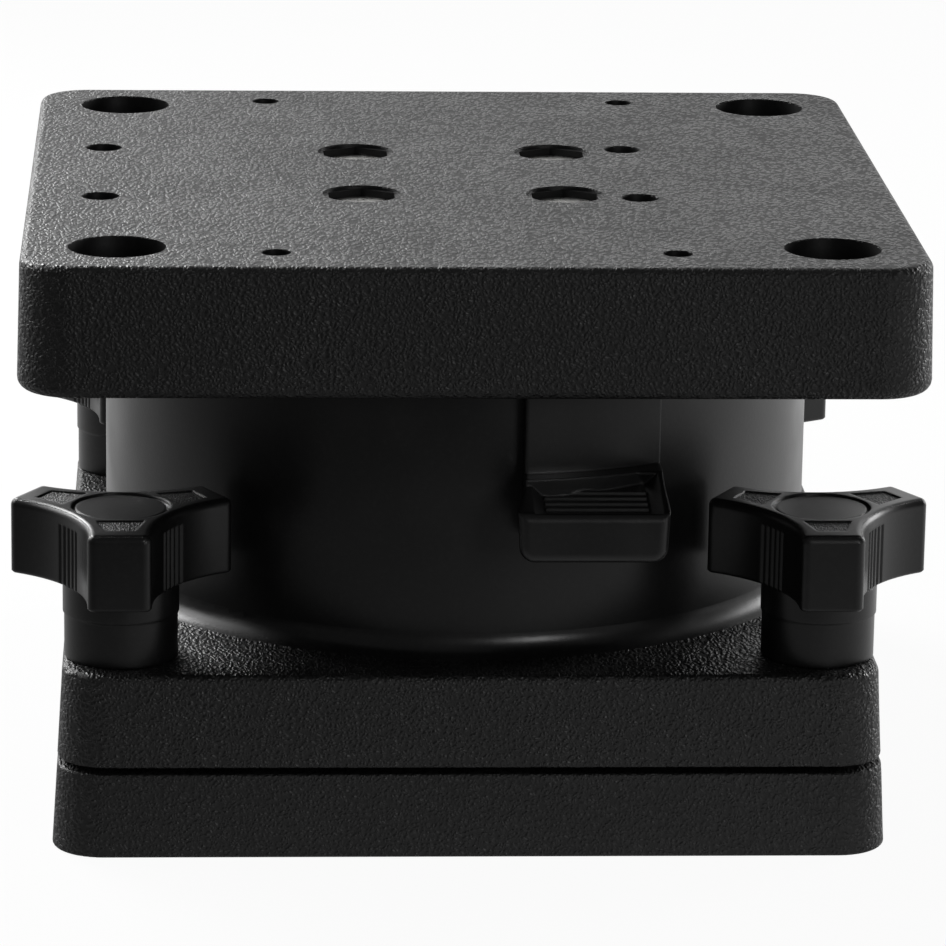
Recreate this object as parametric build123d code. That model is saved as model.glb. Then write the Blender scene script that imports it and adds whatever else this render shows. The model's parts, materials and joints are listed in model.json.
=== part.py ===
from build123d import *
import os
from math import asin, degrees, radians, sin, sqrt

# Pedestal swivel mount: a deck plate, a mounting plate moulded in one with a round pedestal, four
# three-arm clamping knobs, and a square swivel plate that a thumb latch locks at index notches.
# Millimetres. Origin at the middle of the deck plate's underside, +Z up, -Y the latch side (front).

# Clearances
fit_gap = 0.05            # round a piece that is pressed or moulded into another
running_gap = 0.08        # radial, where round pieces turn in each other
axial_play = 0.1          # between sliding faces of the swivel
moving_gap = 0.3          # between other pieces that move past each other

# Deck plate and mounting plate
knob_spacing_x = 151.0
knob_spacing_y = 154.8
deck_width = 180.7        # at its foot
deck_depth = 193.0        # at its foot
deck_height = 19.8
mount_width = 178.4       # at its foot
mount_depth = 190.9       # at its foot
mount_height = 20.4
plate_draft = 3.3         # degrees
plate_corner = 11.0
plate_edge_round = 1.6
seam_round = 0.6          # along the line where the two plates meet
plate_wall = 7.0
plate_skin = 7.5
rib_width = 4.0
stud_boss_r = 12.0
deck_pad_r = 16.0
deck_bolt_spacing = 88.9
deck_bolt_hole_r = 4.15
deck_bolt_boss_r = 11.0
deck_bolt_head_r = 8.5
deck_bolt_head_depth = 5.0

# Pedestal
pedestal_r = 79.8
pedestal_height = 60.4    # above the mounting plate
pedestal_wall = 6.0
pedestal_foot_round = 5.0
flange_height = 10.0
rim_gap = 0.8             # between the pedestal's top and the swivel plate

# Knobs with their studs, and the threaded inserts
stud_r = 4.0
stud_hole_r = 4.5
stud_embed = 21.5         # in the knob
stud_foot = 4.0           # height of the stud's lower end above the deck
stud_point = 0.8
insert_r = 6.0
insert_length = 14.0
insert_flange_r = 8.0
insert_flange_height = 2.0
insert_recess = 0.3
hub_r = 12.25
hub_height = 16.2
hub_collar_step = 0.3
hub_collar_height = 6.4
knob_height = 32.8
arm_reach = 24.2
arm_width = 13.6
arm_corner = 1.8
arm_top_round = 1.6
arm_foot_chamfer = 0.4
hollow_step = 0.45        # by which the hollow sides stand out from the hub
knob_gap = 0.2            # under the hub
groove_count = 5
groove_depth = 0.5
groove_pitch = 1.75
medallion_r = 10.65
medallion_ring = 0.9
medallion_depth = 0.35
medallion_ring_depth = 0.9
panel_inner = 11.6
panel_outer = 19.4
panel_inner_width = 10.4
panel_outer_width = 6.2
panel_depth = 0.3
knob_turn = {"front_left": 0, "front_right": 0, "back_left": 0, "back_right": 30}

# Swivel plate
swivel_width = 194.6      # at its foot
swivel_depth = 193.2      # at its foot
swivel_height = 28.5
swivel_draft = 1.5        # degrees
swivel_corner = 12.0
swivel_top_round = 1.8
swivel_foot_round = 2.6
swivel_wall = 5.2
swivel_skin = 7.0
socket_spacing = 152.4
socket_r = 10.45
socket_boss_r = 15.0
base_hole_spacing_x = 119.6
base_hole_spacing_y = 52.2
base_hole_center_x = -20.7
base_hole_r = 4.15
base_hole_boss_r = 8.0
base_hole_boss_height = 5.0
side_hole_spacing_x = 85.2
side_hole_spacing_y = 162.5
side_hole_r = 3.2
side_hole_boss_r = 6.5
side_hole_boss_height = 14.0
swivel_rib_clear = 3.0    # from the ribs' lower edges to the plate's foot

# Swivel bearing
hub_ring_r = 41.0
hub_bore_r = 14.0
hub_register_r = 20.0
hub_register_height = 4.0
bush_wall = 2.4
bush_collar_width = 3.0
bush_collar_height = 1.2
bearing_inner_r = 54.0
bearing_outer_r = 60.0
washer_margin = 0.8
washer_height = 2.0
washer_proud = 0.7
lower_washer_inner_r = 47.5
lower_washer_outer_r = 56.0
retainer_r = 57.0
retainer_height = 5.0

# Bolts through the swivel plate
bolt_spacing = 45.3
bolt_r = 4.76
bolt_hole_r = 5.0
bolt_length = 50.8
bolt_head_flats = 14.3
bolt_head_height = 6.2
bolt_head_below = 2.3     # from the plate's top to the top of the head
pocket_flats = 14.7
pocket_rim_r = 8.7
pocket_rim_depth = 0.8
bolt_washer_r = 10.0
bolt_washer_height = 1.6
nut_height = 8.3
hex_chamfer = 0.8

# Index latch, with its levels as drops below the swivel plate
notch_count = 12
notch_clear = 0.5
index_wall = 3.6
tooth_depth = 6.2         # radial
tooth_width = 10.0
tooth_rise = 5.2          # into a notch
latch_travel = 8.0
lever_left = 10.7
lever_right = 40.5
lever_thickness = 4.7
lever_edge_round = 0.6
ledge_width = 4.4
ledge_drop = 19.3
paddle_left = 7.7
paddle_right = 41.0
paddle_front = 102.0
paddle_drop = 34.2
paddle_lip_drop = 23.4
paddle_root = 72.0        # where the paddle's sides start, inside the lever, in front of the axis
paddle_rim_back = 81.0    # where the sloping rim reaches the ledge's height, in front of the axis
paddle_draft = 0.7        # by which each side draws in at the bottom
paddle_corner = 3.4
paddle_front_round = 2.2
thumb_rim = 1.1
thumb_depth = 2.6
thumb_slope = 2.8         # by which each side wall runs inwards
thumb_rib_count = 6
thumb_rib_r = 0.65
thumb_rib_pitch = 2.6
keeper_depth = 6.6        # radial
keeper_width = 24.0
keeper_drop = 27.2
neck_width = 16.0
neck_margin = 1.2         # above and below the screws
screw_r = 2.0
screw_spacing = 9.0
screw_drop = 22.8
screw_bite = 6.5
screw_head_r = 3.8
screw_head_height = 2.6
screw_seat_depth = 1.6

# Latch spring
spring_height = 24.0
spring_r = 3.0            # to the middle of the wire
spring_wire_r = 0.5
spring_turns = 5
peg_r = 2.2
peg_height = 5.0
shelf_height = 12.0
shelf_width = 13.0
shelf_depth = 10.3        # radial

# Levels and radii that follow from the sizes above
mount_top = deck_height + mount_height
pedestal_top = mount_top + pedestal_height
pedestal_inner_r = pedestal_r - pedestal_wall
flange_bottom = pedestal_top - flange_height
swivel_bottom = pedestal_top + rim_gap
swivel_top = swivel_bottom + swivel_height
skin_bottom = swivel_top - swivel_skin
washer_top = swivel_bottom - axial_play
lower_washer_top = flange_bottom + washer_height - washer_proud
lower_washer_bottom = lower_washer_top - washer_height
retainer_top = lower_washer_bottom - axial_play
retainer_bottom = retainer_top - retainer_height
bush_inner_r = hub_ring_r + running_gap
bush_outer_r = bush_inner_r + bush_wall
collar_r = bush_outer_r + bush_collar_width
bolt_head_top = swivel_top - bolt_head_below
bolt_seat = bolt_head_top - bolt_head_height
knob_bottom = mount_top + knob_gap
knob_top = knob_bottom + knob_height
arm_bottom = knob_bottom + hub_height
stud_top = knob_bottom + stud_embed
lever_inner_r = pedestal_r + moving_gap
lever_outer_r = lever_inner_r + lever_thickness
lever_top = swivel_bottom - moving_gap
lever_middle_x = (lever_left + lever_right) / 2
latch_angle = degrees(asin(2 * lever_middle_x / (lever_inner_r + lever_outer_r)))
latch_turn = Rot(0, 0, latch_angle)
ledge_r = lever_outer_r + ledge_width
ledge_z = swivel_bottom - ledge_drop
paddle_bottom = swivel_bottom - paddle_drop
paddle_lip_z = swivel_bottom - paddle_lip_drop
keeper_outer_r = pedestal_inner_r - moving_gap
keeper_inner_r = keeper_outer_r - keeper_depth
keeper_middle_r = keeper_outer_r - keeper_depth / 2
keeper_top = flange_bottom - moving_gap
keeper_bottom = swivel_bottom - keeper_drop
tooth_inner_r = keeper_middle_r - tooth_depth / 2
tooth_outer_r = keeper_middle_r + tooth_depth / 2
screw_z = swivel_bottom - screw_drop
neck_bottom = screw_z - screw_r - neck_margin
neck_top = screw_z + screw_r + neck_margin
spring_seat = keeper_bottom - spring_height


def rod(radius, bottom, top):
    """Round bar along Z."""
    return Pos(0, 0, bottom) * extrude(Circle(radius), top - bottom)


def tube(outer_r, inner_r, bottom, top):
    """Round tube along Z."""
    return Pos(0, 0, bottom) * extrude(Circle(outer_r) - Circle(inner_r), top - bottom)


def hexagon_bar(flats, bottom, top):
    """Hexagonal bar along Z, with corners towards +Y and -Y."""
    corners = RegularPolygon(flats / 2, 6, major_radius=False, rotation=30)
    return Pos(0, 0, bottom) * extrude(corners, top - bottom)


def arc_block(inner_r, outer_r, width, bottom, top):
    """Piece of a ring, of the given width, at the front of the ring."""
    window = Pos(0, -outer_r, (bottom + top) / 2) * Box(width, 2 * outer_r, top - bottom)
    return tube(outer_r, inner_r, bottom, top) & window


def at_corners(spacing_x, spacing_y, center_x=0):
    """Four places on a rectangle, front row first."""
    half_x = spacing_x / 2
    half_y = spacing_y / 2
    return [Pos(center_x + side * half_x, row * half_y) for row in (-1, 1) for side in (-1, 1)]


def drafted_slab(width, depth, bottom, height, draft, corner):
    """Slab with round corners, widest at its foot."""
    return Pos(0, 0, bottom) * extrude(RectangleRounded(width, depth, corner), height, taper=draft)


def inner_block(width, depth, wall, corner, bottom, top):
    """The space inside a slab's side walls."""
    plan = RectangleRounded(width - 2 * wall, depth - 2 * wall, corner)
    return Pos(0, 0, bottom) * extrude(plan, top - bottom)


def star_ribs(length, width, bottom, top):
    """Four ribs that cross at the middle, 45 degrees apart."""
    bar = Pos(0, 0, (bottom + top) / 2) * Box(length, width, top - bottom)
    return [Rot(0, 0, turn) * bar for turn in (0, 45, 90, 135)]


def group(solids):
    """Separate solids that share one node."""
    return Compound(children=list(solids))


def make_deck_plate():
    slab = drafted_slab(deck_width, deck_depth, 0, deck_height, plate_draft, plate_corner)
    slab = fillet(slab.edges().group_by(Axis.Z)[-1], seam_round)
    slab = fillet(slab.edges().group_by(Axis.Z)[0], seam_round)
    roof = deck_height - plate_skin
    core = inner_block(deck_width, deck_depth, plate_wall, plate_corner / 2, 0, roof)
    core -= rod(deck_pad_r, 0, roof)
    core -= star_ribs(2 * deck_depth, rib_width, 0, roof)
    for place in at_corners(knob_spacing_x, knob_spacing_y):
        core -= place * rod(stud_boss_r, 0, roof)
    for place in at_corners(deck_bolt_spacing, deck_bolt_spacing):
        core -= place * rod(deck_bolt_boss_r, 0, roof)
    slab -= core
    for place in at_corners(knob_spacing_x, knob_spacing_y):
        slab -= place * rod(stud_hole_r, 0, deck_height)
        slab -= place * rod(insert_r + fit_gap, 0, insert_recess + insert_length)
        slab -= place * rod(insert_flange_r + fit_gap, 0, insert_recess + insert_flange_height)
    for place in at_corners(deck_bolt_spacing, deck_bolt_spacing):
        slab -= place * rod(deck_bolt_hole_r, 0, deck_height)
        slab -= place * rod(deck_bolt_head_r, deck_height - deck_bolt_head_depth, deck_height)
    return slab


def make_deck_inserts():
    sleeve = rod(insert_r, insert_recess, insert_recess + insert_length)
    sleeve += rod(insert_flange_r, insert_recess, insert_recess + insert_flange_height)
    sleeve -= rod(stud_r + running_gap, 0, insert_recess + insert_length)
    return group(place * sleeve for place in at_corners(knob_spacing_x, knob_spacing_y))


def make_pedestal():
    body = drafted_slab(mount_width, mount_depth, deck_height, mount_height, plate_draft, plate_corner)
    body = fillet(body.edges().group_by(Axis.Z)[-1], plate_edge_round)
    body = fillet(body.edges().group_by(Axis.Z)[0], seam_round)
    roof = mount_top - plate_skin
    body += rod(pedestal_r, roof, pedestal_top)
    rings = body.edges().filter_by(GeomType.CIRCLE)
    foot_line = rings.filter_by(lambda edge: abs(edge.radius - pedestal_r) < fit_gap).sort_by(Axis.Z)[0]
    body = fillet(foot_line, pedestal_foot_round)
    core = inner_block(mount_width, mount_depth, plate_wall, plate_corner / 2, deck_height, roof)
    core -= tube(pedestal_r, pedestal_inner_r, deck_height, roof)
    core -= star_ribs(2 * mount_depth, rib_width, deck_height, roof)
    for place in at_corners(knob_spacing_x, knob_spacing_y):
        core -= place * rod(stud_boss_r, deck_height, roof)
    body -= core
    for place in at_corners(knob_spacing_x, knob_spacing_y):
        body -= place * rod(stud_hole_r, deck_height, mount_top)
    body -= rod(pedestal_inner_r, deck_height, flange_bottom)
    body -= rod(bush_outer_r + fit_gap, flange_bottom, pedestal_top)
    body -= rod(collar_r + fit_gap, pedestal_top - bush_collar_height, pedestal_top)
    seat_outer = bearing_outer_r + washer_margin + fit_gap
    seat_inner = bearing_inner_r - washer_margin - fit_gap
    body -= tube(seat_outer, seat_inner, washer_top - washer_height, pedestal_top)
    body -= tube(lower_washer_outer_r + fit_gap, lower_washer_inner_r - fit_gap,
                 flange_bottom, lower_washer_top)
    shelf = arc_block(pedestal_inner_r - shelf_depth, pedestal_inner_r + fit_gap, shelf_width,
                      spring_seat - shelf_height, spring_seat)
    body += latch_turn * shelf
    body += latch_turn * Pos(0, -keeper_middle_r, 0) * rod(peg_r, spring_seat, spring_seat + peg_height)
    body -= latch_turn * arc_block(keeper_outer_r, lever_inner_r, neck_width + 2 * moving_gap,
                                   neck_bottom - latch_travel - moving_gap, neck_top + moving_gap)
    body -= latch_turn * arc_block(tooth_inner_r - moving_gap, tooth_outer_r + moving_gap,
                                   tooth_width + 2 * moving_gap, flange_bottom, pedestal_top)
    return body


def make_swivel_bush():
    bush = tube(bush_outer_r, bush_inner_r, flange_bottom, pedestal_top)
    return bush + tube(collar_r, bush_inner_r, pedestal_top - bush_collar_height, pedestal_top)


def make_upper_thrust_washer():
    outer_r = bearing_outer_r + washer_margin
    inner_r = bearing_inner_r - washer_margin
    return tube(outer_r, inner_r, washer_top - washer_height, washer_top)


def make_lower_thrust_washer():
    return tube(lower_washer_outer_r, lower_washer_inner_r, lower_washer_bottom, lower_washer_top)


def make_swivel_plate():
    body = drafted_slab(swivel_width, swivel_depth, swivel_bottom, swivel_height,
                        swivel_draft, swivel_corner)
    body = fillet(body.edges().group_by(Axis.Z)[-1], swivel_top_round)
    body = fillet(body.edges().group_by(Axis.Z)[0], swivel_foot_round)
    core = inner_block(swivel_width, swivel_depth, swivel_wall, swivel_corner - swivel_wall,
                       swivel_bottom, skin_bottom)
    core -= tube(hub_ring_r, hub_register_r, swivel_bottom, skin_bottom)
    core -= tube(bearing_outer_r, bearing_inner_r, swivel_bottom, skin_bottom)
    index_outer_r = tooth_outer_r + notch_clear + index_wall
    core -= tube(index_outer_r, tooth_inner_r - notch_clear - index_wall, swivel_bottom, skin_bottom)
    outer_ribs = star_ribs(2 * swivel_depth, rib_width, swivel_bottom + swivel_rib_clear, skin_bottom)
    core -= [rib - rod(hub_register_r, swivel_bottom, skin_bottom) for rib in outer_ribs]
    for place in at_corners(socket_spacing, socket_spacing):
        core -= place * rod(socket_boss_r, swivel_bottom, skin_bottom)
    for place in at_corners(base_hole_spacing_x, base_hole_spacing_y, base_hole_center_x):
        core -= place * rod(base_hole_boss_r, skin_bottom - base_hole_boss_height, skin_bottom)
    for place in at_corners(side_hole_spacing_x, side_hole_spacing_y):
        core -= place * rod(side_hole_boss_r, skin_bottom - side_hole_boss_height, skin_bottom)
    body -= core
    for place in at_corners(socket_spacing, socket_spacing):
        body -= place * rod(socket_r, swivel_bottom, swivel_top)
    for place in at_corners(base_hole_spacing_x, base_hole_spacing_y, base_hole_center_x):
        body -= place * rod(base_hole_r, swivel_bottom, swivel_top)
    for place in at_corners(side_hole_spacing_x, side_hole_spacing_y):
        body -= place * rod(side_hole_r, swivel_bottom, swivel_top)
    for place in at_corners(bolt_spacing, bolt_spacing):
        body -= place * rod(bolt_hole_r, swivel_bottom, swivel_top)
        body -= place * hexagon_bar(pocket_flats, bolt_seat, swivel_top)
        body -= place * rod(pocket_rim_r, swivel_top - pocket_rim_depth, swivel_top)
    notch = arc_block(tooth_inner_r - notch_clear, tooth_outer_r + notch_clear,
                      tooth_width + 2 * notch_clear,
                      swivel_bottom, swivel_bottom + tooth_rise + notch_clear)
    for step in range(notch_count):
        body -= Rot(0, 0, latch_angle + 360 * step / notch_count) * notch
    return body


def make_swivel_hub():
    ring = tube(hub_ring_r, hub_bore_r, retainer_top, swivel_bottom)
    ring += tube(hub_register_r - fit_gap, hub_bore_r, retainer_top, swivel_bottom + hub_register_height)
    for place in at_corners(bolt_spacing, bolt_spacing):
        ring -= place * rod(bolt_hole_r, retainer_top, swivel_bottom)
    return ring


def make_retainer_plate():
    disc = tube(retainer_r, hub_bore_r, retainer_bottom, retainer_top)
    for place in at_corners(bolt_spacing, bolt_spacing):
        disc -= place * rod(bolt_hole_r, retainer_bottom, retainer_top)
    return disc


def make_swivel_bolts():
    head = hexagon_bar(bolt_head_flats, bolt_seat, bolt_head_top)
    crown_r = bolt_head_flats / 2
    crown = Pos(0, 0, bolt_head_top - hex_chamfer) * Cone(crown_r + 2 * hex_chamfer, crown_r, hex_chamfer,
                                                          align=(Align.CENTER, Align.CENTER, Align.MIN))
    crown += rod(bolt_head_flats, bolt_seat, bolt_head_top - hex_chamfer)
    bolt = (head & crown) + rod(bolt_r, bolt_seat - bolt_length, bolt_seat)
    bolt = chamfer(bolt.edges().sort_by(Axis.Z)[0], hex_chamfer)
    return group(place * bolt for place in at_corners(bolt_spacing, bolt_spacing))


def make_bolt_washers():
    ring = tube(bolt_washer_r, bolt_hole_r, retainer_bottom - bolt_washer_height, retainer_bottom)
    return group(place * ring for place in at_corners(bolt_spacing, bolt_spacing))


def make_lock_nuts():
    top = retainer_bottom - bolt_washer_height
    nut = hexagon_bar(bolt_head_flats, top - nut_height, top) - rod(bolt_r + fit_gap, top - nut_height, top)
    return group(place * nut for place in at_corners(bolt_spacing, bolt_spacing))


def knob_plan():
    """Plan of the grip, three flat-ended arms joined by hollow sides, and the radius of those sides."""
    arm = Pos(arm_reach / 2, 0) * Rectangle(arm_reach, arm_width)
    plan = Sketch() + [Rot(0, 0, turn) * arm for turn in (30, 150, 270)]
    lean = sin(radians(60))
    hollow_r = ((hub_r + hollow_step) * lean - arm_width / 2) / (1 - lean)
    by_distance = plan.vertices().sort_by(lambda corner: corner.X ** 2 + corner.Y ** 2)
    plan = fillet(by_distance[:3], hollow_r)
    tips = plan.vertices().sort_by(lambda corner: corner.X ** 2 + corner.Y ** 2)[-6:]
    return fillet(tips, arm_corner), hollow_r


def make_knob():
    plan, hollow_r = knob_plan()
    grip = Pos(0, 0, arm_bottom) * extrude(plan, knob_top - arm_bottom)
    grip = fillet(grip.edges().group_by(Axis.Z)[-1], arm_top_round)
    grip = chamfer(grip.edges().group_by(Axis.Z)[0], arm_foot_chamfer)
    groove_top = knob_top - 2 * arm_top_round
    groove = Pos(0, 0, arm_bottom) * extrude(RegularPolygon(groove_depth, 4), groove_top - arm_bottom)
    for valley in (90, 210, 330):
        for step in range(groove_count):
            swing = degrees((step - (groove_count - 1) / 2) * groove_pitch / hollow_r)
            on_side = Pos(hub_r + hollow_step + hollow_r, 0) * Rot(0, 0, swing) * Pos(-hollow_r, 0)
            grip -= Rot(0, 0, valley) * on_side * groove
    grip += rod(hub_r, knob_bottom, arm_bottom)
    grip += rod(hub_r + hub_collar_step, arm_bottom - hub_collar_height, arm_bottom)
    grip -= rod(medallion_r, knob_top - medallion_depth, knob_top)
    grip -= tube(medallion_r, medallion_r - medallion_ring, knob_top - medallion_ring_depth, knob_top)
    half_in = panel_inner_width / 2
    half_out = panel_outer_width / 2
    corners = [(panel_inner, -half_in), (panel_outer, -half_out),
               (panel_outer, half_out), (panel_inner, half_in)]
    panel = Pos(0, 0, knob_top - panel_depth) * extrude(Polygon(*corners, align=None), panel_depth)
    for turn in (30, 150, 270):
        grip -= Rot(0, 0, turn) * panel
    return grip - rod(stud_r + fit_gap, knob_bottom, stud_top)


def make_knob_stud():
    stud = rod(stud_r, stud_foot, stud_top)
    return chamfer(stud.edges().sort_by(Axis.Z)[0], stud_point)


def screw_bar(radius, start, end):
    """Round bars that run outwards from the pedestal's axis, where the two latch screws lie."""
    outwards = Rot(90, 0, 0) * rod(radius, start, end)
    return [latch_turn * Pos(side * screw_spacing / 2, 0, screw_z) * outwards for side in (-1, 1)]


def paddle_face(left, right):
    """Front view of the paddle, with round lower corners."""
    face = Polygon((left, ledge_z), (left + paddle_draft, paddle_bottom),
                   (right - paddle_draft, paddle_bottom), (right, ledge_z), align=None)
    return fillet(face.vertices().sort_by(Axis.Y)[:2], paddle_corner)


def make_paddle():
    """The thumb paddle: straight out of the lever as far as its ledge, then flared towards its front."""
    shoulder = sqrt(ledge_r ** 2 - lever_left ** 2)
    root = Plane.XZ.offset(paddle_root) * paddle_face(lever_left, lever_right)
    waist = Plane.XZ.offset(shoulder) * paddle_face(lever_left, lever_right)
    front = Plane.XZ.offset(paddle_front) * paddle_face(paddle_left, paddle_right)
    paddle = extrude(root, shoulder - paddle_root) + loft([waist, front], ruled=True)
    side = Polygon((-paddle_front, paddle_bottom), (0, paddle_bottom), (0, ledge_z),
                   (-paddle_rim_back, ledge_z), (-paddle_front, paddle_lip_z), align=None)
    paddle &= extrude(Plane.YZ * side, 2 * paddle_right)
    return fillet(paddle.edges().group_by(Axis.Y)[0], paddle_front_round)


def make_thumb_dish():
    """The hollow of the paddle, with ribs left standing across its sloping floor."""
    rise = ledge_z - paddle_lip_z
    run = paddle_front - paddle_rim_back
    slope_length = sqrt(rise ** 2 + run ** 2)
    middle = (lever_middle_x, -(paddle_front + paddle_rim_back) / 2, (ledge_z + paddle_lip_z) / 2)
    rim_plane = Plane(origin=middle, x_dir=(1, 0, 0), z_dir=(0, -rise, run))
    mouth_width = lever_right - lever_left - 2 * thumb_rim
    mouth_length = slope_length - 2 * thumb_rim
    mouth = rim_plane.offset(thumb_depth) * Rectangle(mouth_width + 2 * thumb_slope, mouth_length)
    floor_plane = rim_plane.offset(-thumb_depth)
    floor = floor_plane * Rectangle(mouth_width - 2 * thumb_slope, mouth_length)
    dish = loft([mouth, floor], ruled=True)
    rib = Rot(0, 90, 0) * extrude(Circle(thumb_rib_r), mouth_width / 2 - thumb_slope, both=True)
    for step in range(thumb_rib_count):
        along = (step + 1) * thumb_rib_pitch - slope_length / 2
        dish -= floor_plane.location * Pos(0, along) * rib
    return dish - rod(ledge_r, 0, swivel_bottom)


def make_latch_lever():
    width = lever_right - lever_left
    window_middle = Pos(lever_middle_x, -lever_outer_r, lever_top / 2)
    window = window_middle * Box(width, 2 * lever_outer_r, 2 * lever_top)
    plate = tube(lever_outer_r, lever_inner_r, paddle_bottom, lever_top) & window
    plate = fillet(plate.edges().filter_by(Axis.Z).sort_by(Axis.Y)[0], lever_edge_round)
    outer_lines = plate.edges().filter_by(Axis.Z).sort_by(lambda edge: edge.center().X)
    plate = fillet(outer_lines[-1], lever_edge_round)
    ledge = tube(ledge_r, lever_inner_r, paddle_bottom, ledge_z) & window
    lever = plate + (make_paddle() - rod(lever_inner_r, 0, swivel_bottom)) + ledge
    lever -= make_thumb_dish()
    for hole in screw_bar(screw_r + fit_gap, 0, lever_inner_r + screw_bite + moving_gap):
        lever -= hole
    return lever


def make_latch_keeper():
    keeper = arc_block(keeper_inner_r, keeper_outer_r, keeper_width, keeper_bottom, keeper_top)
    keeper += arc_block(keeper_outer_r - fit_gap, lever_inner_r - fit_gap, neck_width,
                        neck_bottom, neck_top)
    keeper += arc_block(tooth_inner_r, tooth_outer_r, tooth_width,
                        keeper_top - fit_gap, swivel_bottom + tooth_rise)
    keeper += Pos(0, -keeper_middle_r, 0) * rod(peg_r, keeper_bottom - peg_height, keeper_bottom)
    keeper = latch_turn * keeper
    for hole in screw_bar(screw_r + fit_gap, 0, lever_outer_r):
        keeper -= hole
    for seat in screw_bar(screw_head_r + moving_gap, 0, keeper_inner_r + screw_seat_depth):
        keeper -= seat
    return keeper


def make_keeper_screws():
    seat = keeper_inner_r + screw_seat_depth
    shanks = screw_bar(screw_r, seat, lever_inner_r + screw_bite)
    heads = screw_bar(screw_head_r, seat - screw_head_height, seat)
    return group(shank + head for shank, head in zip(shanks, heads))


def make_latch_spring():
    height = spring_height - 2 * spring_wire_r - 2 * fit_gap
    path = Helix(height / spring_turns, height, spring_r)
    section = Plane(origin=path @ 0, z_dir=path % 0) * RegularPolygon(spring_wire_r, 6)
    wire = sweep(section, path=path)
    return latch_turn * Pos(0, -keeper_middle_r, spring_seat + spring_wire_r + fit_gap) * wire


nodes = {
    "deck_plate": make_deck_plate(),
    "deck_inserts": make_deck_inserts(),
    "pedestal": make_pedestal(),
    "swivel_bush": make_swivel_bush(),
    "upper_thrust_washer": make_upper_thrust_washer(),
    "lower_thrust_washer": make_lower_thrust_washer(),
    "swivel_plate": make_swivel_plate(),
    "swivel_hub": make_swivel_hub(),
    "retainer_plate": make_retainer_plate(),
    "swivel_bolts": make_swivel_bolts(),
    "bolt_washers": make_bolt_washers(),
    "lock_nuts": make_lock_nuts(),
    "latch_lever": make_latch_lever(),
    "latch_keeper": make_latch_keeper(),
    "keeper_screws": make_keeper_screws(),
    "latch_spring": make_latch_spring(),
}
knob = make_knob()
stud = make_knob_stud()
for (corner, turn), place in zip(knob_turn.items(), at_corners(knob_spacing_x, knob_spacing_y)):
    nodes[f"knob_{corner}"] = place * Rot(0, 0, turn) * knob
    nodes[f"knob_stud_{corner}"] = place * stud

os.makedirs("parts", exist_ok=True)
for name, piece in nodes.items():
    export_step(piece, f"parts/{name}.step")
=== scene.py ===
import json
from math import cos, hypot, radians, sin

import bpy
from mathutils import Matrix, Vector


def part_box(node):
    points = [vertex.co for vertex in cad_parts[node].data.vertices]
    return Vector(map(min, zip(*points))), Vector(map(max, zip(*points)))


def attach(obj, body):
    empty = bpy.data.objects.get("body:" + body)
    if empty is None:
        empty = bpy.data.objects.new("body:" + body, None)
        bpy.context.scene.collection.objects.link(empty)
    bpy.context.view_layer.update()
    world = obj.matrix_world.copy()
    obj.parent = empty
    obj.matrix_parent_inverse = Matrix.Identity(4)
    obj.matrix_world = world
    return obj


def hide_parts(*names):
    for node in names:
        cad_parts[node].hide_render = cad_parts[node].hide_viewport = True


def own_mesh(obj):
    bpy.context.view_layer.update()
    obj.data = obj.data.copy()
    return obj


# Looks of the pedestal swivel mount: finishes for every CAD piece, studio light, floor and camera.
# Metres, in the CAD frame: origin under the deck plate, +Z up, -Y the front with the latch.

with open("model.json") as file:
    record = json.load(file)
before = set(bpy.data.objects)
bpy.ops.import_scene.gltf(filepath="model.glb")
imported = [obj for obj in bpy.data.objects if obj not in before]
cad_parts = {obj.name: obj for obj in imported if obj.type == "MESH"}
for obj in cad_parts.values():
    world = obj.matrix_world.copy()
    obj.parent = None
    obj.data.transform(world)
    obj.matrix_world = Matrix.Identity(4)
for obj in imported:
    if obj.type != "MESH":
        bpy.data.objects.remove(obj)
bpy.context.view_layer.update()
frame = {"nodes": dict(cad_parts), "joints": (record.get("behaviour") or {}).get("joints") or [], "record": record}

# Camera, fitted to the photograph
CAMERA_PLACE = (-0.06109, -1.17165, 0.38026)
CAMERA_YAW = 3.1955              # degrees to the right of +Y
CAMERA_PITCH = 15.2934           # degrees down
CAMERA_ROLL = 0.8948             # degrees
CAMERA_LENS = 201.33             # millimetres
CAMERA_SENSOR = 36.0             # millimetres

# Light
WORLD_FILL = 0.1
WORLD_BRIGHT = (0.1, 0.9, -1.0)  # towards the side on which gloss sees the studio white
WORLD_ENDS = (-0.4, 0.65)        # along that direction, where the studio is dim and where it is white
FLOOR_BRIGHT = (0.55, 0.83, 0.0)
FLOOR_ENDS = (-0.45, 0.405)
DIM = 0.05                       # share of white on the dim side
LAMP_TARGET = (0.0, 0.0, 0.07)
TOP_POWER = 6.0                  # watts
FRONT_POWER = 3.2
LEFT_POWER = 5.0
RIGHT_POWER = 5.0
FLOOR_SIZE = 8.0
FLOOR_DROP = 0.0001              # below the object's foot
FLOOR_PAPER = (0.92, 0.92, 0.92, 1.0)
FLOOR_GLOW = 0.95                # share of the floor that is plain white, the rest takes the shadow

# Leather grain
GRAIN_CELL = 0.00085
PANEL_CELL = 0.0004              # on the knobs' panels
GRAIN_RUN = (1.0, 0.5, 1.0)      # squeeze of the pattern, which runs front to back
GRAIN_SLOPE = 0.24               # depth of the grain for its cell
DRIFT_CELL = 3                   # of the pattern's drift, in cells
DRIFT_REACH = 2.2                # in cells
PEBBLE_ENDS = (0.8, 0.1)         # from the edge of a pebble to its crown, in cells
TOOTH_CELL = 0.4                 # of the fine tooth on the pebbles, in cells
TOOTH_SHARE = 0.45               # height of that tooth
CREASE_ENDS = (0.9, 0.3)         # heights from which the creases between pebbles grow duller
CREASE_ROUGH = 0.2

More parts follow.
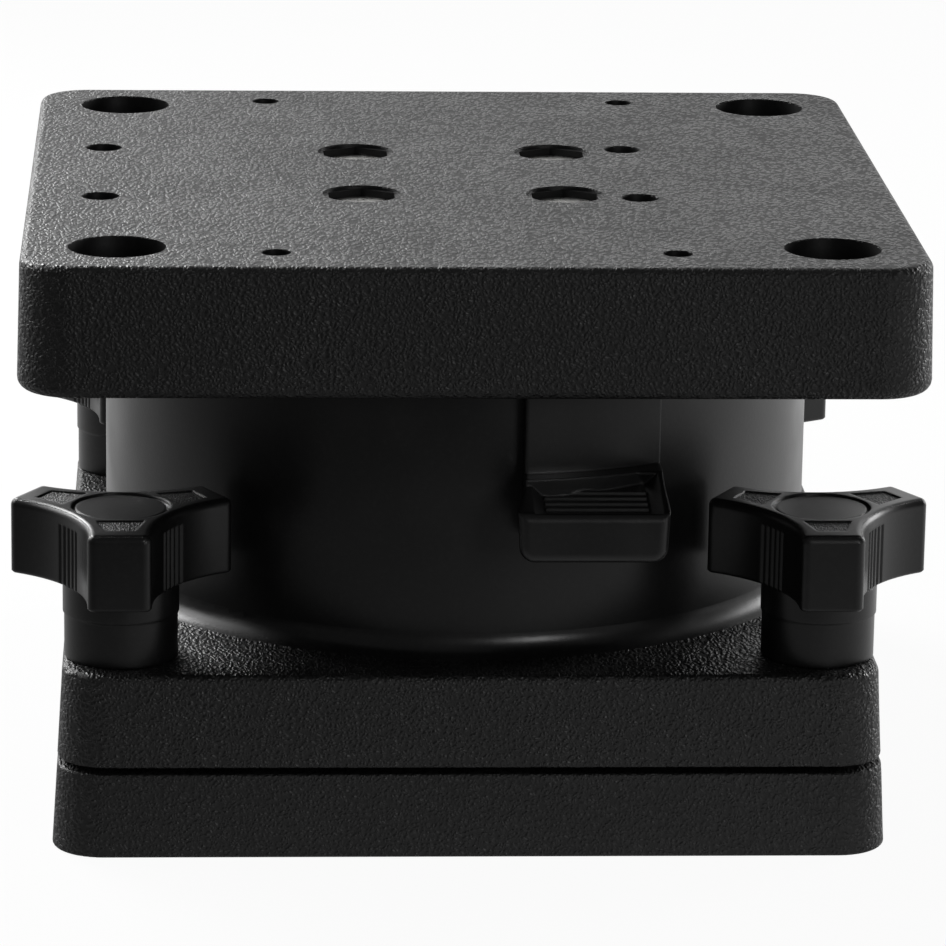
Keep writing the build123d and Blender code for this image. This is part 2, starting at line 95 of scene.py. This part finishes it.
# Black plastic
BLACK = (0.005, 0.005, 0.0052, 1.0)
BLACK_WORN = (0.011, 0.011, 0.011, 1.0)
SATIN_ROUGH = (0.28, 0.36)
GRAIN_ROUGH = (0.34, 0.42)
SATIN_CELL = 0.0007              # of the smooth faces' faint tooth
SATIN_SHARE = 0.3
SATIN_DEPTH = 0.00005
CLOUD_CELL = 0.02
FLECK_CELL = 0.0012
FLECK_WEAR = 0.6
CLOUD_WEAR = 0.4
KNOB_EDGE_R = 0.0008
LATCH_EDGE_R = 0.0007

# Where the grain lies
SKIN = 0.0003                    # below the swivel plate's top, where the holes' smooth walls start
SIDE_BAND = 0.006                # of the swivel plate's sides, inwards
RIM_BAND = 0.001                 # of the pedestal, below its top, where its radius is read
FOOT_REACH = 0.003               # from the pedestal's side to where the grain starts
FOOT_RAGGED = 0.004              # by which that line wanders outwards
RAGGED_CELL = 0.0015
PANEL_DEPTH = 0.0003             # of the grained panels in the knobs' arms
MEDALLION_R = 0.0108

# Metals and white plastic
STEEL_LIGHT = (0.78, 0.77, 0.75, 1.0)
STEEL_DARK = (0.6, 0.6, 0.58, 1.0)
BRASS_LIGHT = (0.76, 0.58, 0.28, 1.0)
BRASS_DARK = (0.6, 0.44, 0.2, 1.0)
METAL_ROUGH = (0.25, 0.45)
METAL_CELL = 0.0015
METAL_DEPTH = 0.0003
ACETAL_LIGHT = (0.78, 0.77, 0.73, 1.0)
ACETAL_DARK = (0.7, 0.69, 0.65, 1.0)
ACETAL_ROUGH = (0.35, 0.5)
ACETAL_CLOUD = 0.008
ACETAL_TOOTH = 0.0005
ACETAL_SHARE = 0.2
ACETAL_DEPTH = 0.00004

# Dark line of the seam: the deck plate's top rim stays clear of the plate above
DECK_CORNER = 0.011
SEAM_DROP = 0.0013
RIM_HEIGHT = 0.0008
RIM_WIDTH = 0.003


def add_node(tree, kind, **settings):
    """A shader node with some of its own settings."""
    made = tree.nodes.new(kind)
    for name, value in settings.items():
        setattr(made, name, value)
    return made


def feed(tree, target, value):
    """Links an output to a socket, or sets the socket to a constant."""
    if isinstance(value, bpy.types.NodeSocket):
        tree.links.new(value, target)
    else:
        target.default_value = value


def maths(tree, operation, *values):
    made = add_node(tree, "ShaderNodeMath", operation=operation)
    for socket, value in zip(made.inputs, values):
        feed(tree, socket, value)
    return made.outputs[0]


def vector_maths(tree, operation, *values):
    made = add_node(tree, "ShaderNodeVectorMath", operation=operation)
    for socket, value in zip(made.inputs, values):
        feed(tree, socket, value)
    gives_number = operation in ("DOT_PRODUCT", "LENGTH", "DISTANCE")
    return made.outputs["Value" if gives_number else "Vector"]


def split(tree, coords):
    made = add_node(tree, "ShaderNodeSeparateXYZ")
    feed(tree, made.inputs[0], coords)
    return made.outputs


def ramp(tree, value, low, high, out_low=0.0, out_high=1.0):
    """Smooth step of a value from one range to another."""
    made = add_node(tree, "ShaderNodeMapRange", interpolation_type="SMOOTHSTEP")
    for socket, number in zip(made.inputs, (value, low, high, out_low, out_high)):
        feed(tree, socket, number)
    return made.outputs[0]


def noise(tree, coords, cell, detail=2.0, rough=0.5):
    """Noise as a number and as a colour."""
    made = add_node(tree, "ShaderNodeTexNoise")
    feed(tree, made.inputs["Vector"], coords)
    feed(tree, made.inputs["Scale"], 1.0 / cell)
    feed(tree, made.inputs["Detail"], detail)
    feed(tree, made.inputs["Roughness"], rough)
    return made.outputs[0], made.outputs[1]


def mix_colour(tree, share, first, second):
    made = add_node(tree, "ShaderNodeMix", data_type="RGBA")
    feed(tree, made.inputs[0], share)
    feed(tree, made.inputs[6], first)
    feed(tree, made.inputs[7], second)
    return made.outputs[2]


def new_material(name):
    """A material with its shader, its tree and the object's own coordinates."""
    material = bpy.data.materials.new(name)
    material.use_nodes = True
    tree = material.node_tree
    shader = tree.nodes["Principled BSDF"]
    coords = add_node(tree, "ShaderNodeTexCoord").outputs["Object"]
    return material, tree, shader, coords


def bump(tree, height, strength, distance, normal=None):
    made = add_node(tree, "ShaderNodeBump")
    feed(tree, made.inputs["Strength"], strength)
    feed(tree, made.inputs["Distance"], distance)
    feed(tree, made.inputs["Height"], height)
    if normal:
        feed(tree, made.inputs["Normal"], normal)
    return made.outputs[0]


def leather_height(tree, coords, cell):
    """Moulded leather grain: irregular pebbles with creases between them, over a fine tooth."""
    coords = vector_maths(tree, "MULTIPLY", coords, GRAIN_RUN)
    _, drift = noise(tree, coords, DRIFT_CELL * cell)
    shift = vector_maths(tree, "SCALE", vector_maths(tree, "SUBTRACT", drift, (0.5, 0.5, 0.5)))
    shift.node.inputs["Scale"].default_value = DRIFT_REACH * cell
    warped = vector_maths(tree, "ADD", coords, shift)
    pebbles = add_node(tree, "ShaderNodeTexVoronoi", feature="F1")
    feed(tree, pebbles.inputs["Vector"], warped)
    feed(tree, pebbles.inputs["Scale"], 1.0 / cell)
    crown = ramp(tree, pebbles.outputs["Distance"], *PEBBLE_ENDS)
    tooth, _ = noise(tree, coords, TOOTH_CELL * cell, rough=0.6)
    return maths(tree, "ADD", crown, maths(tree, "MULTIPLY", tooth, TOOTH_SHARE))


def moulded_plastic(name, grain_share=None, cell=GRAIN_CELL, rough=SATIN_ROUGH, edge_r=None):
    """Black satin plastic, with leather grain where grain_share is 1 and edges softened by edge_r."""
    material, tree, shader, coords = new_material(name)
    tooth, _ = noise(tree, coords, SATIN_CELL, rough=0.6)
    cloud, _ = noise(tree, coords, CLOUD_CELL, detail=3.0)
    fleck, _ = noise(tree, coords, FLECK_CELL)
    flecks = ramp(tree, fleck, 0.45, 0.75, 0.0, FLECK_WEAR)
    patches = ramp(tree, cloud, 0.45, 0.8, 0.0, CLOUD_WEAR)
    worn = maths(tree, "ADD", flecks, patches)
    feed(tree, shader.inputs["Base Color"], mix_colour(tree, worn, BLACK, BLACK_WORN))
    gloss = ramp(tree, cloud, 0.3, 0.7, *rough)
    edges = None
    if edge_r:
        softened = add_node(tree, "ShaderNodeBevel", samples=4)
        softened.inputs["Radius"].default_value = edge_r
        edges = softened.outputs[0]
    surface = bump(tree, tooth, SATIN_SHARE, SATIN_DEPTH, edges)
    if grain_share:
        height = leather_height(tree, coords, cell)
        share = grain_share(tree, coords)
        crease = ramp(tree, height, *CREASE_ENDS, 0.0, CREASE_ROUGH)
        gloss = maths(tree, "ADD", gloss, maths(tree, "MULTIPLY", crease, share))
        surface = bump(tree, height, share, GRAIN_SLOPE * cell, surface)
    feed(tree, shader.inputs["Roughness"], gloss)
    feed(tree, shader.inputs["Normal"], surface)
    return material


def grained_plastic(name):
    return moulded_plastic(name, lambda tree, coords: 1.0, rough=GRAIN_ROUGH)


def swivel_plastic(name, high):
    """Grained on the plate's top and sides, smooth in its holes and pockets and below."""
    def grain_share(tree, coords):
        parts = split(tree, vector_maths(tree, "ABSOLUTE", coords))
        on_top = maths(tree, "GREATER_THAN", parts["Z"], high.z - SKIN)
        at_side = maths(tree, "GREATER_THAN", parts["X"], high.x - SIDE_BAND)
        at_end = maths(tree, "GREATER_THAN", parts["Y"], high.y - SIDE_BAND)
        return maths(tree, "MAXIMUM", on_top, maths(tree, "MAXIMUM", at_side, at_end))
    return moulded_plastic(name, grain_share, rough=GRAIN_ROUGH)


def pedestal_plastic(name, foot_level, foot_r):
    """Grained on the plate, smooth on the pedestal, with a ragged line between them round its foot."""
    def grain_share(tree, coords):
        parts = split(tree, coords)
        radius = vector_maths(tree, "LENGTH", vector_maths(tree, "MULTIPLY", coords, (1.0, 1.0, 0.0)))
        ragged, _ = noise(tree, coords, RAGGED_CELL)
        line = maths(tree, "ADD", foot_r, maths(tree, "MULTIPLY", ragged, FOOT_RAGGED))
        outside = maths(tree, "GREATER_THAN", radius, line)
        below = maths(tree, "LESS_THAN", parts["Z"], foot_level)
        return maths(tree, "MAXIMUM", outside, below)
    return moulded_plastic(name, grain_share)


def knob_plastic(name, axis, top):
    """Smooth, with grain on the floors of the panels in the arms' tops."""
    def grain_share(tree, coords):
        parts = split(tree, coords)
        away = vector_maths(tree, "DISTANCE", coords, (axis[0], axis[1], top))
        on_floor = maths(tree, "COMPARE", parts["Z"], top - PANEL_DEPTH, PANEL_DEPTH / 4)
        return maths(tree, "MULTIPLY", on_floor, maths(tree, "GREATER_THAN", away, MEDALLION_R))
    return moulded_plastic(name, grain_share, PANEL_CELL, edge_r=KNOB_EDGE_R)


def metal(name, light, dark):
    material, tree, shader, coords = new_material(name)
    cloud, _ = noise(tree, coords, METAL_CELL, detail=4.0, rough=0.6)
    feed(tree, shader.inputs["Base Color"], mix_colour(tree, ramp(tree, cloud, 0.35, 0.7), light, dark))
    feed(tree, shader.inputs["Roughness"], ramp(tree, cloud, 0.3, 0.7, *METAL_ROUGH))
    shader.inputs["Metallic"].default_value = 1.0
    feed(tree, shader.inputs["Normal"], bump(tree, cloud, 1.0, METAL_DEPTH))
    return material


def acetal(name):
    material, tree, shader, coords = new_material(name)
    cloud, _ = noise(tree, coords, ACETAL_CLOUD, detail=3.0)
    tooth, _ = noise(tree, coords, ACETAL_TOOTH)
    feed(tree, shader.inputs["Base Color"], mix_colour(tree, cloud, ACETAL_LIGHT, ACETAL_DARK))
    feed(tree, shader.inputs["Roughness"], ramp(tree, cloud, 0.3, 0.7, *ACETAL_ROUGH))
    feed(tree, shader.inputs["Normal"], bump(tree, tooth, ACETAL_SHARE, ACETAL_DEPTH))
    return material


def dress(nodes, record, joints):
    """Gives every CAD piece its slot's finish, or one of its own: latch, swivel plate, pedestal, knobs."""
    finishes = {
        "grained_plastic": grained_plastic("grained_plastic"),
        "satin_plastic": moulded_plastic("satin_plastic"),
        "acetal": acetal("acetal"),
        "stainless": metal("stainless", STEEL_LIGHT, STEEL_DARK),
        "brass": metal("brass", BRASS_LIGHT, BRASS_DARK),
    }
    own = {
        "latch_lever": moulded_plastic("latch_plastic", edge_r=LATCH_EDGE_R),
        "swivel_plate": swivel_plastic("swivel_plastic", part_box("swivel_plate")[1]),
    }
    foot_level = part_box("knob_front_left")[0].z
    rim_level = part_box("pedestal")[1].z
    rim = [v.co.xy.length for v in nodes["pedestal"].data.vertices if v.co.z > rim_level - RIM_BAND]
    own["pedestal"] = pedestal_plastic("pedestal_plastic", foot_level, max(rim) + FOOT_REACH)
    for joint in joints:
        piece = "knob_" + joint["child"].removesuffix("_knob")
        if piece in nodes:
            own[piece] = knob_plastic(piece + "_plastic", joint["pos_m"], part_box(piece)[1].z)
    for entry in record["subparts"]:
        piece = nodes[entry["node"]]
        piece.data.materials.clear()
        piece.data.materials.append(own.get(entry["node"], finishes[entry["material_slot"]]))


def drop_deck_rim(node):
    """A copy of the deck plate with its top rim dropped a little, which stands for the plate."""
    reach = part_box("deck_plate")[1]
    mesh = node.data.copy()
    for vertex in mesh.vertices:
        past_x = abs(vertex.co.x) - (reach.x - DECK_CORNER)
        past_y = abs(vertex.co.y) - (reach.y - DECK_CORNER)
        outside = hypot(max(past_x, 0.0), max(past_y, 0.0)) + min(max(past_x, past_y), 0.0) - DECK_CORNER
        if outside > -RIM_WIDTH and vertex.co.z > reach.z - RIM_HEIGHT:
            vertex.co.z -= SEAM_DROP
    piece = bpy.data.objects.new("deck_plate_with_seam", mesh)
    bpy.context.scene.collection.objects.link(piece)
    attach(piece, "base")
    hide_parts("deck_plate")


def squeeze_spring(node):
    """A copy of the latch spring, with a mesh of its own, that stands for it on the base body."""
    piece = bpy.data.objects.new("latch_spring_coil", node.data.copy())
    bpy.context.scene.collection.objects.link(piece)
    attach(piece, "base")
    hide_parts("latch_spring")
    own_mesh(piece)


def add_lamp(name, power, place, size):
    light = bpy.data.lights.new(name, "AREA")
    light.shape = "RECTANGLE"
    light.size, light.size_y = size
    light.energy = power
    lamp = bpy.data.objects.new(name, light)
    lamp.location = place
    lamp.rotation_euler = (Vector(LAMP_TARGET) - Vector(place)).to_track_quat("-Z", "Y").to_euler()
    bpy.context.scene.collection.objects.link(lamp)


def studio_white(tree, coords, bright, ends):
    """White as the background shows it, which for gloss dims away from the studio's bright side."""
    path = add_node(tree, "ShaderNodeLightPath")
    towards = vector_maths(tree, "DOT_PRODUCT", coords, bright)
    lit = ramp(tree, towards, *ends, DIM, 1.0)
    gloss = maths(tree, "MULTIPLY", path.outputs["Is Glossy Ray"], lit)
    shown = maths(tree, "MAXIMUM", path.outputs["Is Camera Ray"], path.outputs["Is Transmission Ray"])
    return maths(tree, "MAXIMUM", shown, gloss)


def build_world():
    world = bpy.data.worlds.new("studio")
    world.use_nodes = True
    bpy.context.scene.world = world
    tree = world.node_tree
    fill = tree.nodes["Background"]
    fill.inputs["Color"].default_value = (1.0, 1.0, 1.0, 1.0)
    direction = add_node(tree, "ShaderNodeTexCoord").outputs["Generated"]
    white = studio_white(tree, direction, WORLD_BRIGHT, WORLD_ENDS)
    feed(tree, fill.inputs["Strength"], maths(tree, "MAXIMUM", white, WORLD_FILL))


def build_floor():
    mesh = bpy.data.meshes.new("floor")
    half = FLOOR_SIZE / 2
    outline = [(-half, -half), (half, -half), (half, half), (-half, half)]
    mesh.from_pydata([(x, y, -FLOOR_DROP) for x, y in outline], [], [(0, 1, 2, 3)])
    floor = bpy.data.objects.new("floor", mesh)
    bpy.context.scene.collection.objects.link(floor)
    material = bpy.data.materials.new("floor_white")
    material.use_nodes = True
    tree = material.node_tree
    tree.nodes.remove(tree.nodes["Principled BSDF"])
    paper = add_node(tree, "ShaderNodeBsdfDiffuse")
    paper.inputs["Color"].default_value = FLOOR_PAPER
    glow = add_node(tree, "ShaderNodeEmission")
    place = add_node(tree, "ShaderNodeTexCoord").outputs["Object"]
    feed(tree, glow.inputs["Strength"], studio_white(tree, place, FLOOR_BRIGHT, FLOOR_ENDS))
    blend = add_node(tree, "ShaderNodeMixShader")
    blend.inputs[0].default_value = FLOOR_GLOW
    tree.links.new(paper.outputs[0], blend.inputs[1])
    tree.links.new(glow.outputs[0], blend.inputs[2])
    tree.links.new(blend.outputs[0], tree.nodes["Material Output"].inputs["Surface"])
    mesh.materials.append(material)


def build_camera():
    yaw, pitch, roll = radians(CAMERA_YAW), radians(CAMERA_PITCH), radians(CAMERA_ROLL)
    right = Vector((cos(yaw), -sin(yaw), 0.0))
    ahead = Vector((sin(yaw) * cos(pitch), cos(yaw) * cos(pitch), -sin(pitch)))
    up = right.cross(ahead)
    turned_right = cos(roll) * right + sin(roll) * up
    turned_up = cos(roll) * up - sin(roll) * right
    data = bpy.data.cameras.new("camera")
    data.lens = CAMERA_LENS
    data.sensor_width = CAMERA_SENSOR
    camera = bpy.data.objects.new("camera", data)
    axes = Matrix((turned_right, turned_up, -ahead)).transposed()
    camera.matrix_world = Matrix.Translation(CAMERA_PLACE) @ axes.to_4x4()
    bpy.context.scene.collection.objects.link(camera)
    bpy.context.scene.camera = camera


bpy.context.scene.view_settings.view_transform = "Standard"
dress(frame["nodes"], frame["record"], frame["joints"])
drop_deck_rim(frame["nodes"]["deck_plate"])
squeeze_spring(frame["nodes"]["latch_spring"])
build_world()
build_floor()
add_lamp("top", TOP_POWER, place=(-0.45, 0.55, 0.5), size=(0.35, 0.3))
add_lamp("front", FRONT_POWER, place=(0.6, -1.4, 0.5), size=(0.3, 0.5))
add_lamp("left", LEFT_POWER, place=(-1.0, 0.4, 0.75), size=(0.7, 0.5))
add_lamp("right", RIGHT_POWER, place=(1.0, 0.6, 0.4), size=(0.4, 0.5))
build_camera()
